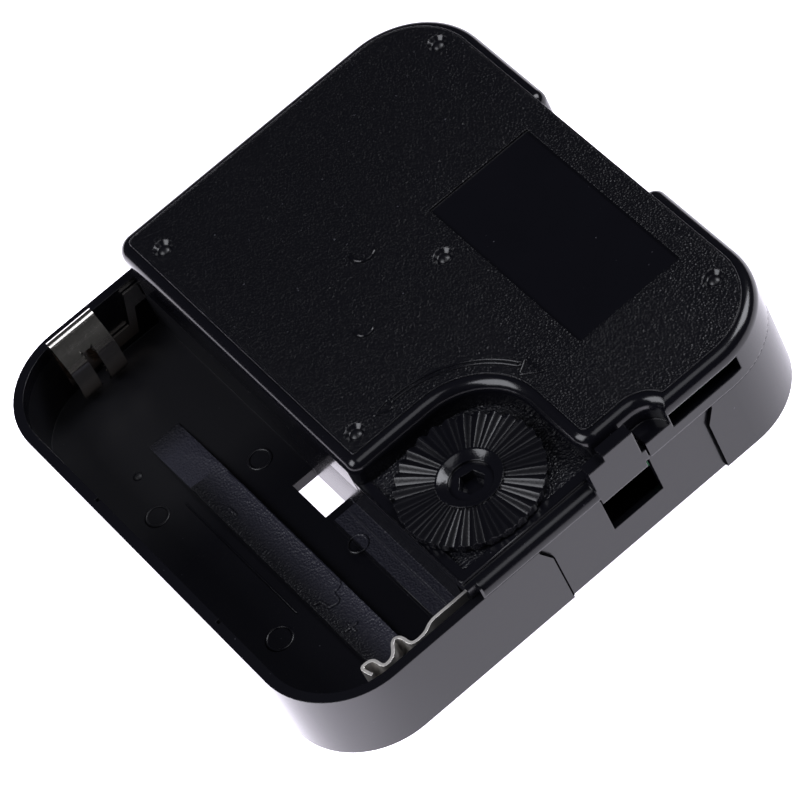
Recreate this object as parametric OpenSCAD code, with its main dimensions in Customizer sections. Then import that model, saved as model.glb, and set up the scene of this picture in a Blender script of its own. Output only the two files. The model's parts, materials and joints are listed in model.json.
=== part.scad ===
// Quartz clock movement, seen from behind: a square black case with an open bay for one round cell,
// a middle plate that carries the setting knob, and a snapped-on rear cover over the wheel train.
// +Z points out of the back, the cell bay lies along X on the -Y side,
// and the origin is on the hand axis at the face that rests on the dial. Millimetres.

/* [Case] */
// Side of the square case
case_w = 56; // [54:0.5:60]
// Plan radius of the case corners
corner_r = 8.5; // [6:0.5:10]
// Thickness of the side walls
wall = 1; // [0.9:0.05:1.2]
// Thickness of the floor that lies on the dial
floor_t = 1.2; // [1:0.1:1.5]
// Height of the front case up to the parting line
rim_z = 8.4; // [8:0.1:9]
// Distance from the hand axis to the front wall of the wheel chamber
chamber_front = 10.15; // [10:0.05:10.4]
// Depth of the recessed side panel
panel_depth = 0.3; // [0.2:0.05:0.5]
// Width of the recessed side panel
panel_w = 18; // [16:0.5:20]

/* [Rear cover] */
// Height of the rear cover above the parting line
cover_h = 4.5; // [4.2:0.1:5]
// Thickness of the cover roof
roof_t = 1; // [0.8:0.1:1.2]
// Thickness of the cover side walls
cover_wall = 1.1; // [0.9:0.1:1.3]
// Radius of the rounded upper edge
edge_r = 1.2; // [0.8:0.1:1.5]
// Step from the rounded edge up to the grained top
crease_h = 0.12; // [0.05:0.01:0.2]
// Width of the label recess
label_w = 22.8; // [20:0.2:24]
// Height of the label recess
label_h = 11.7; // [10:0.1:12.5]
// Depth of the label recess
label_depth = 0.25; // [0.15:0.05:0.4]
// Width of the hanger notch in the far side
notch_w = 16; // [14:0.5:18]
// Height of the low ledge on the latch side
ledge_h = 2.3; // [2:0.1:2.6]
// Length of the open slot in the latch side
slot_len = 8; // [7:0.5:9]
// Height of the open slot
slot_h = 1.8; // [1.4:0.1:2]

/* [Setting knob] */
// Knob centre, measured from the hand axis along X
knob_x = 18.9; // [18.7:0.05:18.95]
// Knob centre, measured from the hand axis along Y
knob_y = -3; // [-3.1:0.05:-2.6]
// Radius of the knob
knob_r = 7.1; // [6.5:0.1:7.4]
// Number of ribs on the knob face
knob_ribs = 30; // [28:1:32]
// Thickness of the knob rim
knob_rim_t = 0.9; // [0.8:0.1:1.3]
// Radius of the dish in the middle of the knob
dish_r = 3; // [2.7:0.1:3.3]
// Distance from the hand axis to the left wall of the knob recess
recess_x = 11.2; // [11:0.05:11.3]
// Distance from the hand axis to the far wall of the knob recess
recess_y = 5.25; // [5.1:0.05:5.4]
// Corner radius of the knob recess
recess_r = 6.4; // [6:0.1:6.6]
// Width across the corners of the six-sided socket
socket_w = 2.6; // [2.2:0.1:3]

/* [Middle plate] */
// Height of the lower face of the middle plate above the dial face
plate_z = 4.3; // [4.2:0.1:4.5]
// Thickness of the middle plate
plate_t = 1; // [0.8:0.1:1.1]
// Thickness of the raised tray under the knob
tray_t = 0.8; // [0.7:0.1:1]
// Height of the tray surface above the parting line
tray_up = 1.35; // [1.2:0.05:1.5]
// Height of the border lip above the tray surface
lip_h = 0.3; // [0.2:0.05:0.35]
// Width of the border lip
lip_w = 1.1; // [0.9:0.1:1.3]
// Distance of the border lip from the outer face
flange_w = 1.5; // [1.2:0.1:1.8]
// Width of the latch tab
tab_w = 5.2; // [4.6:0.1:5.4]
// Width of the latch window in the case wall
window_w = 5.7; // [5.4:0.1:6.2]
// Height of the lower edge of the latch window
window_z = 3.4; // [3:0.1:4]
// Distance of the latch window centre from the hand axis
latch_y = 6.85; // [6.6:0.05:7.1]

/* [Cell bay] */
// Diameter of the round cell
cell_d = 14.5; // [14.1:0.1:14.5]
// Clearance under the cell in its cradle
cell_gap = 0.15; // [0.1:0.05:0.2]
// Width of the cradle along the bay floor
cradle_w = 3.6; // [3.2:0.1:4.4]
// Gap between the cell and the chamber wall
cell_side = 0.35; // [0.25:0.05:0.5]
// Thickness of the contact strip
strip_t = 0.3; // [0.2:0.05:0.4]
// Height of the contact strip
strip_h = 4.6; // [3.6:0.2:5]

/* [Hands] */
// Outer diameter of the threaded bush
bush_d = 8; // [7.5:0.1:9]
// Length of the threaded bush in front of the dial face
bush_len = 5.4; // [4:0.2:8]
// Outer diameter of the hour pipe
hour_d = 5; // [4.8:0.1:5.2]
// Length of the hour pipe in front of the dial face
hour_len = 7.4; // [6:0.2:10]
// Outer diameter of the minute pipe
minute_d = 3.4; // [3.2:0.1:3.5]
// Length of the minute pipe in front of the dial face
minute_len = 10.2; // [8.5:0.2:13]
// Diameter of the second arbor
second_d = 1; // [0.9:0.05:1.1]
// Length of the second arbor in front of the dial face
second_len = 12.4; // [11:0.2:15]

/* [Wheels] */
// Module of the motion work: knob pinion, minute work wheel and cannon pinion
motion_m = 0.4; // [0.4:0.001:0.405]
// Module of the centre wheel and its pinion
centre_m = 0.25; // [0.24:0.005:0.255]
// Module of the second wheel and its pinion
second_m = 0.245; // [0.243:0.001:0.25]
// Module of the fifth wheel and the rotor pinion
fifth_m = 0.2; // [0.19:0.005:0.21]
// Thickness of the plain wheels
wheel_t = 0.5; // [0.4:0.05:0.6]
// Bearing of the third wheel seen from the hand axis, in degrees
third_at = 160; // [155:1:165]
// Bearing of the fifth wheel seen from the hand axis, in degrees
fifth_at = 60; // [56:1:64]
// Bearing of the rotor seen from the fifth wheel, in degrees
rotor_at = 110; // [106:1:114]
// Backlash between meshed teeth
backlash = 0.07; // [0.05:0.01:0.1]
// Radial clearance of a running pivot
run_gap = 0.05; // [0.03:0.01:0.08]

/* [Motor] */
// Diameter of the rotor magnet
magnet_d = 6; // [5:0.2:6.4]
// Thickness of the rotor magnet
magnet_t = 2; // [1.6:0.1:2.4]
// Air gap between the magnet and the stator
air_gap = 0.5; // [0.4:0.05:0.6]
// Thickness of the stator
stator_t = 0.8; // [0.6:0.1:1]
// Length of the coil core
core_len = 28; // [26:0.5:30]
// Diameter of the bobbin flanges
bobbin_d = 4.8; // [4.4:0.1:4.9]
// Length of the bobbin
bobbin_len = 16; // [14:0.5:17]
// Distance of the coil from the rotor axis
coil_off = 7.7; // [7.6:0.05:7.8]
// Thickness of the circuit board
board_t = 0.8; // [0.6:0.1:1]

/* [Hidden] */
$fn = 64;

// Numbers of teeth: knob pinion and cannon pinion, minute work wheel and pinion, hour wheel,
// then the train from the rotor to the centre wheel
cannon_z = 12;
work_z = 36;
work_pinion_z = 10;
hour_z = 40;
rotor_z = 10;
fifth_z = 60;
fifth_pinion_z = 12;
second_z = 60;
second_pinion_z = 8;
third_z = 60;
third_pinion_z = 8;
centre_z = 64;

// Levels above the dial face
top_z = rim_z + cover_h;
ceiling_z = top_z - roof_t;
tray_z = rim_z + tray_up;
plate_top = plate_z + plate_t;
pivot_depth = floor_t - 0.4;
hour_level = floor_t + 0.4;
hour_t = 0.9;
motion_level = hour_level + hour_t + 0.3;
motion_t = 0.9;
centre_level = plate_top + 0.3;
third_level = centre_level + wheel_t + 0.65;
second_level = third_level + wheel_t + 0.5;
fifth_level = second_level + wheel_t + 0.5;
magnet_level = fifth_level - 0.8 - magnet_t;
stator_level = magnet_level + (magnet_t - stator_t) / 2;
knob_low = tray_z + lip_h + 0.15;
hub_low = tray_z - 0.7;
hub_gap = 0.1;
neck_r = bush_d / 2 - 0.5;
groove = 0.6;
groove_depth = 0.17;
relief = 0.3;
bush_flange = 0.6;
fit = 0.02;
eps = 0.01;

// Plan places
half = case_w / 2;
inner = half - wall;
knob_at = [knob_x, knob_y];
hour_m = motion_reach() * 2 / (work_pinion_z + hour_z);
third_m = train_reach() * 2 / (second_pinion_z + third_z);
work_at = work_place();
third_pos = polar(train_reach(), third_at);
fifth_pos = polar(second_m * (fifth_pinion_z + second_z) / 2, fifth_at);
rotor_pos = fifth_pos + polar(fifth_m * (rotor_z + fifth_z) / 2, rotor_at);
coil_y = rotor_pos.y + coil_off;
core_t = 0.8;
core_w = 2;
coil_z = stator_level + stator_t + core_t / 2;
plan_r = edge_r + 0.05;
notch_d = edge_r + 0.05;
lobe_x = half - 2.2;
lobe_r = 2;
recess_at = [recess_x + recess_r, recess_y - recess_r];
ledge_y = latch_y + window_w / 2 + 0.2;
hook_y = ledge_y + 0.7;
label_at = [half - 34.15, half - 15.7];
slot_y = half - 15.1;
slot_top = top_z - 1.5;
dimple_r = 1;
dimple_depth = 0.35;
hole_x0 = -1.3;
hole_x1 = 4;
ledge_x = hole_x1 + 1.6;
pivot_r = 0.35;
arbor_r = 0.9;
barrel_r = 1.35;
dish_ball = 5.2;
well_r = 2.15;
well_depth = 0.8;
rib_turn = 3.5;
rib_slope = 3.2;
board_x = half - 11.5;
board_top = plate_top + board_t;
third_top = third_level + wheel_t + 0.6;
train_top = fifth_level + wheel_t + 0.3;
second_boss = second_level + wheel_t + 0.45;
stator_posts = [[rotor_pos.x - core_len / 2 + 1.5, coil_y], [rotor_pos.x + core_len / 2 - 1.5, coil_y]];
posts = [[4 - half, half - 4], [half - 6, half - 3.6], [4 - half, -6.6], [half - 3.6, -6.6]];
props = [[recess_x + 1.4, 0.6], [inner - 1.1, -2]];
dimples = [[4.7 - half, 3.11 - chamber_front], [6.76 - half, half - 3.21], [half - 7.15, half - 3.47],
    [recess_x - 3.06, 2.83 - chamber_front], [label_at.x + 5.22, label_at.y - 2.37]];
bosses = [[[0, 0], 1.4, second_boss, second_d / 2 + run_gap],
    [third_pos, 1.1, third_top + 0.1, pivot_r + run_gap],
    [fifth_pos, 1.1, train_top + 0.1, pivot_r + run_gap],
    [rotor_pos, 1.1, train_top + 0.1, pivot_r + run_gap]];
rim_marks = [-8.8, 11];
cell_r = cell_d / 2;
cell_y = -chamber_front - cell_side - cell_r;
cell_z = floor_t + 0.3 + cell_r + cell_gap;

// Contacts: the two fingers of the negative one, and the folds of the positive one in front of the wall,
// each given by its distance from the case side and from the chamber
finger_w = 2.4;
slit = 0.4;
finger_y = cell_y - 2.75;
contact_x = half - 2.44;
contact_top = rim_z - 0.6;
folds = [[2.1, 10.7], [3.5, 11.1], [3.4, 9.7], [1.9, 9.5], [2.1, 8.3], [3.6, 7.3],
    [3.3, 6.6], [1.8, 6.4], [1.8, 4.9], [2.44, 3.8], [2.44, 0.5]];

function polar(r, a) = [r * cos(a), r * sin(a)];
function motion_reach() = motion_m * (cannon_z + work_z) / 2;
function train_reach() = centre_m * (third_pinion_z + centre_z) / 2;

// The minute work wheel stands where it reaches both the cannon pinion and the knob pinion
function work_place() =
    let (mid = knob_at / 2, side = sqrt(pow(motion_reach(), 2) - mid * mid))
    mid + side * [-knob_y, knob_x] / norm(knob_at);
function bearing(p, q) = atan2(q.y - p.y, q.x - p.x);

// Turn of a gear with n teeth so that it meshes with a gear of m teeth turned by a, seen at bearing b
function mesh_turn(a, m, n, b) = b + 180 - 360 / n * ((a - b) * m / 360 + 0.5);

// Turns that put every pair in mesh at rest
cannon_turn = bearing(work_at, [0, 0]) + 180;
work_turn = mesh_turn(cannon_turn, cannon_z, work_z, bearing([0, 0], work_at));
knob_turn = mesh_turn(work_turn, work_z, cannon_z, bearing(work_at, knob_at));
hour_turn = mesh_turn(0, work_pinion_z, hour_z, bearing(work_at, [0, 0]));
third_pinion_turn = mesh_turn(0, centre_z, third_pinion_z, third_at);
third_turn = mesh_turn(0, second_pinion_z, third_z, third_at);
fifth_pinion_turn = mesh_turn(0, second_z, fifth_pinion_z, fifth_at);
rotor_turn = mesh_turn(0, fifth_z, rotor_z, rotor_at);

// Half the angle that a tooth covers at radius r: an involute above the base circle, straight below it
pressure = 20;
function involute(a) = tan(a) * 180 / PI - a;
function tooth_half(n, m, r) =
    let (pitch = n * m / 2, base = pitch * cos(pressure), slack = backlash / pitch * 45 / PI)
    90 / n - slack + involute(pressure) - (r > base ? involute(acos(base / r)) : 0);

// Outline of a gear whose first tooth points along +X
module gear_plan(n, m, tip = 0.85, root = 1.2) {
    pitch = n * m / 2;
    radii = [pitch - root * m, pitch - 0.4 * m, pitch, pitch + tip * m / 2, pitch + tip * m];
    polygon([for (i = [0 : n - 1]) each [
        for (r = radii) polar(r, i * 360 / n - tooth_half(n, m, r)),
        for (k = [len(radii) - 1 : -1 : 0]) polar(radii[k], i * 360 / n + tooth_half(n, m, radii[k]))]]);
}
module gear(n, m, h, z, turn = 0) {
    translate([0, 0, z]) rotate(turn) linear_extrude(h) gear_plan(n, m);
}

module rod(r, z0, z1) {
    translate([0, 0, z0]) cylinder(r = r, h = z1 - z0);
}
module at(p) {
    translate([p.x, p.y, 0]) children();
}

// Round bar from z0 to z2 with a groove above z1, where the seat of a hand ends
module hand_seat(r, z0, z1, z2) {
    rod(r, z0, z1);
    rod(r - groove_depth, z1 - eps, z1 + groove + eps);
    rod(r, z1 + groove, z2);
}
module block(x0, x1, y0, y1, z0, z1) {
    translate([x0, y0, z0]) cube([x1 - x0, y1 - y0, z1 - z0]);
}
module slab(z0, z1) {
    translate([0, 0, z0]) linear_extrude(z1 - z0) children();
}

// Square with rounded corners, drawn in by d from the case outline
module case_plan(d) {
    s = half - d;
    r = corner_r - d;
    square([2 * s, 2 * (s - r)], center = true);
    square([2 * (s - r), 2 * s], center = true);
    for (x = [-1, 1], y = [-1, 1]) translate([x, y] * (s - r)) circle(r);
}

// What a convex corner of radius r loses, for a corner at the origin that fills x < 0 and y > 0
module corner_loss(r) {
    difference() {
        translate([-r, -r]) square([2 * r, 2 * r]);
        translate([-r, r]) circle(r);
        translate([-2 * r, -r]) square([r, 3 * r]);
        translate([-2 * r, r]) square([3 * r, r]);
    }
}

// Outline of the rear cover, drawn in by d
module cover_plan(d) {
    left = recess_x - d;
    front = d - chamber_front;
    shelf = recess_y + d;
    latch = lobe_x - d;
    far = 2 * half;
    difference() {
        case_plan(d);
        translate([-far, -far]) square([2 * far, far + front]);
        translate(recess_at) circle(recess_r + d);
        translate([left, -far]) square([far, far + recess_at.y]);
        translate([recess_at.x, -far]) square([far, far + shelf]);
        translate([latch, -far]) square([far, far + hook_y]);
        translate([half, hook_y]) circle(half - lobe_x + d);
        translate([left, front]) corner_loss(max(plan_r - d, 0.2));
        translate([d - half, front]) mirror([1, 0]) corner_loss(max(plan_r + 0.6 - d, 0.2));
        translate([latch, shelf]) corner_loss(max(lobe_r - d, 0.3));
    }
}

// Hanger notch in the far side of the cover, widened by d
module notch_plan(d) {
    side = notch_w / 2 + d;
    translate([-side, half - notch_d - d]) square([2 * side, 2 * notch_d + d]);
    translate([side, half - d]) rotate(180) corner_loss(max(notch_d - d, 0.2));
    translate([-side, half - d]) mirror([0, 1]) corner_loss(max(notch_d - d, 0.2));
}

// Section that rounds an upper edge: the wall is at x = 0 and the solid lies at x > 0
module edge_section() {
    difference() {
        translate([-1, -edge_r]) square([edge_r + 1, edge_r + 1]);
        translate([edge_r, -edge_r]) circle(edge_r);
    }
}
module edge_line(p, q, side) {
    length = norm(q - p);
    translate([p.x, p.y, 0]) rotate(bearing(p, q)) rotate([90, 0, 90]) linear_extrude(length)
        mirror([side < 0 ? 1 : 0, 0]) edge_section();
}
module edge_arc(c, r, from, sweep, convex) {
    at(c) rotate(from) rotate_extrude(angle = sweep)
        translate([r, 0]) mirror([convex ? 1 : 0, 0]) edge_section();
}

// The rounded upper edge of the cover, followed round its outline
module cover_edge(z) {
    front = -chamber_front;
    flat = half - corner_r;
    big_r = plan_r + 0.6;
    ends = notch_w / 2 + notch_d;
    translate([0, 0, z]) {
        edge_line([big_r - half, front], [recess_x - plan_r, front], 1);
        edge_arc([recess_x - plan_r, front + plan_r], plan_r, -90, 90, true);
        edge_line([recess_x, front + plan_r], [recess_x, recess_at.y], 1);
        edge_arc(recess_at, recess_r, 90, 90, false);
        edge_line([recess_at.x, recess_y], [lobe_x - lobe_r, recess_y], 1);
        edge_arc([lobe_x - lobe_r, recess_y + lobe_r], lobe_r, -90, 90, true);
        edge_line([lobe_x, recess_y + lobe_r], [lobe_x, hook_y], 1);
        edge_arc([half, hook_y], half - lobe_x, 90, 90, false);
        edge_line([half, hook_y + half - lobe_x], [half, flat], 1);
        edge_arc([flat, flat], corner_r, 0, 90, true);
        edge_line([flat, half], [ends, half], 1);
        edge_arc([ends, half - notch_d], notch_d, 90, 90, true);
        edge_arc([-ends, half - notch_d], notch_d, 0, 90, true);
        edge_line([-ends, half], [-flat, half], 1);
        edge_arc([-flat, flat], corner_r, 90, 90, true);
        edge_line([-half, flat], [-half, front + big_r], 1);
        edge_arc([big_r - half, front + big_r], big_r, 180, 90, true);
    }
}

// Bar of radius r from z1 to z2 with thin end pivots that reach from z0 to z3
module pivots(z0, z1, z2, z3, r) {
    rod(pivot_r, z0, z3);
    rod(r, z1, z2);
}

// Wheel with four round openings
module wheel(n, m, z, turn, opening, out) {
    difference() {
        gear(n, m, wheel_t, z, turn);
        for (a = [45 : 90 : 315]) at(polar(out, a)) rod(opening, z - 1, z + wheel_t + 1);
    }
}

// Band of thickness t along a line of points, with mitred corners
function unit(v) = v / norm(v);
function side_at(p, i) =
    let (a = i > 0 ? unit(p[i] - p[i - 1]) : unit(p[1] - p[0]),
        b = i < len(p) - 1 ? unit(p[i + 1] - p[i]) : a,
        n = [-(a + b).y, (a + b).x] / 2)
    n / (n * n);
module band(p, t) {
    last = len(p) - 1;
    polygon([for (i = [0 : last]) p[i] + side_at(p, i) * t / 2,
        for (i = [last : -1 : 0]) p[i] - side_at(p, i) * t / 2]);
}

// Line of points with each inner corner rounded by a short curve
function toward(p, q, r) = p + unit(q - p) * min(r, 0.45 * norm(q - p));
function bend(p, r, steps = 4) =
    [p[0], for (i = [1 : len(p) - 2]) let (a = toward(p[i], p[i - 1], r), b = toward(p[i], p[i + 1], r))
        for (k = [0 : steps]) let (t = k / steps) a * pow(1 - t, 2) + p[i] * 2 * t * (1 - t) + b * pow(t, 2),
    p[len(p) - 1]];
module along_y(y0, y1) {
    translate([0, y1, 0]) rotate([90, 0, 0]) linear_extrude(y1 - y0) children();
}
module along_x(x0, x1) {
    translate([x0, 0, 0]) rotate([90, 0, 90]) linear_extrude(x1 - x0) children();
}

// Trough that follows the round cell, with a ramp at its open end
module cradle() {
    low = cell_y + 0.1 - cradle_w / 2;
    tail = 12.2 - half;
    ramp = tail + 7.3;
    intersection() {
        difference() {
            along_x(tail, inner - 1.2) translate([low, floor_t - eps]) square([cradle_w, 2]);
            along_x(tail - 1, inner) translate([cell_y, cell_z]) circle(cell_r + cell_gap);
        }
        along_y(low - 1, low + cradle_w + 1)
            polygon([[tail, 0], [inner, 0], [inner, floor_t + 1], [ramp, floor_t + 1], [ramp, floor_t + 0.5],
                [tail, floor_t + 0.1]]);
    }
}

// Recessed panel in the latch side, wider near the parting line
module side_panel() {
    mid = latch_y;
    low = panel_w / 2;
    along_x(half - panel_depth, half + 1)
        polygon([[mid - low, -1], [mid + low, -1], [mid + low, rim_z - 1.9], [mid + low + 1, rim_z - 0.1],
            [mid + low + 1, rim_z + 1], [mid - low - 1, rim_z + 1], [mid - low - 1, rim_z - 0.1],
            [mid - low, rim_z - 1.9]]);
}

// Outline of the tray under the knob, drawn in by d
module tray_plan(d) {
    left = recess_x - 0.9 + d;
    difference() {
        intersection() {
            case_plan(d);
            translate([left, d - chamber_front]) square([2 * half, ledge_y + chamber_front - 0.2 - 2 * d]);
        }
        cover_plan(0.9 - d);
        translate([half - d, -chamber_front + d]) rotate(-90) corner_loss(0.8);
    }
}

// Inner outline of the tray, d inside the outer face
module lip_plan(d) {
    translate([recess_x - 3, d - chamber_front])
        square([half - flange_w - d - recess_x + 3, recess_y + chamber_front - d + 0.9]);
}

module front_case() {
    difference() {
        union() {
            difference() {
                slab(0, rim_z) case_plan(0);
                slab(floor_t, rim_z + 1) case_plan(wall);
            }
            block(-inner - eps, inner + eps, -chamber_front, -chamber_front + wall, floor_t - eps, rim_z);
            block(ledge_x, inner - 2, -chamber_front - 2.4, -chamber_front + eps, floor_t - eps, floor_t + 1);
            block(ledge_x + 0.8, inner - 2, -chamber_front - 0.9, -chamber_front + eps, floor_t - eps,
                floor_t + 1.9);
            cradle();
            at(work_at) rod(0.8, floor_t - eps, plate_z - 0.2);
            for (p = posts) at(p) rod(1.5, floor_t - eps, plate_z);
        }
        rod(bush_d / 2 + fit, -1, relief);
        rod(neck_r + fit, -1, floor_t + 1);
        rod(bush_d / 2 + 1 + fit, floor_t - bush_flange, floor_t + 1);
        at(knob_at) rod(pivot_r + run_gap, floor_t - pivot_depth, floor_t + 1);
        block(hole_x0, hole_x1, -chamber_front - 2.5, -chamber_front, -1, floor_t + 1);
        block(half - wall - 1, half + 1, latch_y - window_w / 2, latch_y + window_w / 2, window_z, rim_z + 1);
        side_panel();
        block(-inner - eps, -inner + 0.9, -chamber_front - 1, -chamber_front + wall + 1, plate_top + 0.1,
            rim_z + 1);
        block(contact_x - 0.7, contact_x + 0.7, -chamber_front - 1, -chamber_front + wall + 1,
            plate_top + 0.1, rim_z + 1);
        for (x = rim_marks) block(x - 0.2, x + 0.2, -inner - 0.35, -inner + 1, rim_z - 0.6, rim_z + 1);
    }
}

module threaded_bush() {
    difference() {
        union() {
            rod(bush_d / 2, -bush_len, 0);
            rod(neck_r, -eps, floor_t);
            rod(bush_d / 2 + 1, floor_t - bush_flange, floor_t + 0.05);
        }
        rod(hour_d / 2 + run_gap, -bush_len - 1, floor_t + 1);
    }
}

module middle_plate() {
    difference() {
        union() {
            slab(plate_z, plate_top) difference() {
                case_plan(wall + 0.1);
                translate([-half, -half]) square([2 * half, half - chamber_front + wall + 0.1]);
                translate([inner - 2.2, latch_y - 3.6]) square([5, 7.2]);
            }
            difference() {
                slab(rim_z + fit, tray_z) tray_plan(0);
                slab(rim_z - 1, tray_z - tray_t) tray_plan(wall);
            }
            difference() {
                slab(tray_z - eps, tray_z + lip_h) lip_plan(0);
                slab(tray_z, tray_z + 1) lip_plan(lip_w);
                slab(tray_z - 1, tray_z + 1) cover_plan(-fit);
            }
            at(knob_at) rod(well_r + 0.9, plate_top - eps, tray_z - eps);
            for (p = props) at(p) rod(0.8, plate_top - eps, tray_z - tray_t / 2);
            block(recess_x, inner - 4, wall + 0.1 - chamber_front, wall + 1 - chamber_front,
                plate_top - eps, tray_z - tray_t / 2);
            latch_tab();
            for (p = stator_posts) at(p) {
                rod(1.2, plate_top - eps, stator_level);
                rod(0.5, plate_top - eps, coil_z + core_t / 2 + 0.3);
            }
        }
        rod(minute_d / 2 + run_gap, 0, plate_top + 1);
        for (p = [third_pos, fifth_pos, rotor_pos]) at(p) rod(pivot_r + run_gap, 0, plate_top + 0.05);
        at(knob_at) rod(arbor_r + run_gap, 0, top_z);
        at(knob_at) rod(well_r + hub_gap, hub_low - hub_gap, top_z);
        translate([0, 0, tray_z]) edge_line([half, 1 - chamber_front], [half, latch_y - tab_w / 2 - 0.3], 1);
    }
}

module latch_tab() {
    left = latch_y - tab_w / 2 - 0.2;
    right = latch_y + tab_w / 2 - 0.2;
    block(half - 1.3, half, left, right, rim_z - 0.7, top_z - 0.7);
    block(half - 1.3, half, left + 1.9, right, rim_z - 0.7, top_z);
}

module rear_cover() {
    difference() {
        union() {
            difference() {
                slab(rim_z, top_z - crease_h) cover_plan(0);
                cover_edge(top_z - crease_h);
            }
            slab(top_z - edge_r, top_z) cover_plan(edge_r + 0.1);
            block(lobe_x - 0.5, half, ledge_y, hook_y + 3, rim_z, rim_z + ledge_h - 0.4);
        }
        difference() {
            slab(rim_z - 1, ceiling_z) difference() {
                cover_plan(cover_wall);
                notch_plan(cover_wall);
            }
            for (b = bosses) at(b[0]) rod(b[1], b[2], ceiling_z + 1);
        }
        for (b = bosses) at(b[0]) rod(b[3], b[2] - 1, b[2] + 1);
        slab(rim_z - 1, top_z + 1) notch_plan(0);
        slab(rim_z - 1, tray_z + fit) tray_plan(-fit);
        slab(top_z - label_depth, top_z + 1) translate(label_at) square([label_w, label_h]);
        for (p = dimples) at(p) translate([0, 0, top_z - dimple_depth])
            cylinder(r1 = dimple_r - 0.4, r2 = dimple_r, h = dimple_depth + eps);
        block(inner - 0.5, half + 1, slot_y, slot_y + slot_len, slot_top - slot_h, slot_top);
    }
}

// Ribbed disc with a round dish, a well and a six-sided socket in its middle
module setting_knob() {
    low = knob_low;
    high = low + knob_rim_t;
    land = high + 0.1;
    at(knob_at) difference() {
        union() {
            rotate_extrude()
                polygon([[0, low], [knob_r, low], [knob_r, high], [dish_r + 0.15, land], [0, land]]);
            rod(well_r, hub_low, low + eps);
        }
        for (i = [1 : knob_ribs]) rotate(rib_turn + (i + 0.5) * 360 / knob_ribs) {
            translate([knob_r + 0.35, 0, low - 1]) cylinder(r = 0.5, h = 3);
            translate([0, 0, high]) rotate([0, rib_slope, 0]) rib_groove();
        }
        translate([0, 0, land + sqrt(pow(dish_ball, 2) - pow(dish_r, 2))]) sphere(dish_ball);
        rod(well_r, land - well_depth, land);
        rotate(knob_turn) slab(hub_low - 1, land) circle(socket_w / 2, $fn = 6);
    }
}

// Straight groove of V section that leaves a narrow rib on each side
module rib_groove() {
    side = 0.88 * PI * knob_r / knob_ribs;
    drop = tan(rib_slope) * knob_r;
    along_x(dish_r + 0.15, knob_r + 1) polygon([[0, 0], [-2 * side, 2 * drop], [2 * side, 2 * drop]]);
}

module setting_arbor() {
    at(knob_at) {
        pivots(floor_t - pivot_depth + 0.1, floor_t + 0.15, hub_low, hub_low + 0.05, arbor_r);
        gear(cannon_z, motion_m, motion_t, motion_level, knob_turn);
        rotate(knob_turn) slab(hub_low, hub_low + 0.35) circle(socket_w / 2 - 0.01, $fn = 6);
    }
}

module minute_work_wheel() {
    at(work_at) difference() {
        union() {
            gear(work_z, motion_m, motion_t, motion_level, work_turn);
            gear(work_pinion_z, hour_m, motion_level - floor_t - 0.2, floor_t + 0.2, 0);
        }
        rod(0.8 + run_gap, 0, plate_z);
    }
}

module hour_wheel() {
    difference() {
        union() {
            gear(hour_z, hour_m, hour_t, hour_level, hour_turn);
            hand_seat(hour_d / 2, -hour_len, -bush_len, hour_level + eps);
            rod(hour_d / 2 + 0.8, floor_t + 0.15, hour_level + eps);
        }
        rod(minute_d / 2 + run_gap, -hour_len - 1, plate_z);
    }
}

module minute_arbor() {
    difference() {
        union() {
            hand_seat(minute_d / 2, -minute_len, -hour_len, plate_top + 0.1);
            gear(cannon_z, motion_m, motion_t, motion_level, cannon_turn);
            rod(1.2, plate_top, centre_level + wheel_t + 0.3);
        }
        rod(second_d / 2 + run_gap, -minute_len - 1, top_z);
    }
}

module centre_wheel() {
    difference() {
        union() {
            wheel(centre_z, centre_m, centre_level, 0, 1.9, 4.9);
            rod(2.1, centre_level - 0.1, centre_level + wheel_t + 0.2);
        }
        rod(1.2 + run_gap, 0, top_z);
    }
}

module third_wheel() {
    at(third_pos) {
        wheel(third_z, third_m, third_level, third_turn, 1.9, 4.8);
        gear(third_pinion_z, centre_m, wheel_t + 0.3, centre_level - 0.1, third_pinion_turn);
        pivots(plate_z + 0.1, plate_top + 0.1, third_top, third_top + 0.9, 0.65);
    }
}

module second_wheel() {
    difference() {
        union() {
            wheel(second_z, second_m, second_level, 0, 1.8, 4.4);
            gear(second_pinion_z, third_m, wheel_t + 0.25, third_level - 0.1, 0);
            rod(1.1, third_level + wheel_t + 0.1, second_level + wheel_t + 0.3);
        }
        rod(second_d / 2, 0, top_z);
    }
}

module second_arbor() {
    hand_seat(second_d / 2, -second_len, -minute_len, second_level + wheel_t + 1.2);
}

module fifth_wheel() {
    at(fifth_pos) {
        wheel(fifth_z, fifth_m, fifth_level, 0, 1.4, 3.6);
        gear(fifth_pinion_z, second_m, wheel_t + 0.2, second_level - 0.1, fifth_pinion_turn);
        pivots(plate_z + 0.1, plate_top + 0.1, train_top, train_top + 0.9, 0.6);
        rod(1.2, second_level + wheel_t, fifth_level + eps);
    }
}

module rotor_pinion() {
    at(rotor_pos) {
        gear(rotor_z, fifth_m, wheel_t + 0.2, fifth_level - 0.1, rotor_turn);
        pivots(plate_z + 0.1, plate_top + 0.1, train_top, train_top + 0.9, 0.6);
    }
}

module rotor_magnet() {
    at(rotor_pos) difference() {
        rod(magnet_d / 2, magnet_level, magnet_level + magnet_t);
        rod(0.6, 0, top_z);
    }
}

module stator() {
    ring = magnet_d / 2 + air_gap + 1.6;
    difference() {
        slab(stator_level, stator_level + stator_t) difference() {
            union() {
                translate(rotor_pos) circle(ring);
                for (p = stator_posts) {
                    translate([p.x - 1.5, rotor_pos.y - 1.75]) square([3, coil_off + 3.3]);
                }
                translate([stator_posts[0].x, rotor_pos.y - 1.75]) square([core_len - 3, 3.5]);
            }
            translate(rotor_pos) circle(magnet_d / 2 + air_gap);
        }
        for (p = stator_posts) at(p) rod(0.5 + fit, 0, top_z);
    }
}

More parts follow.
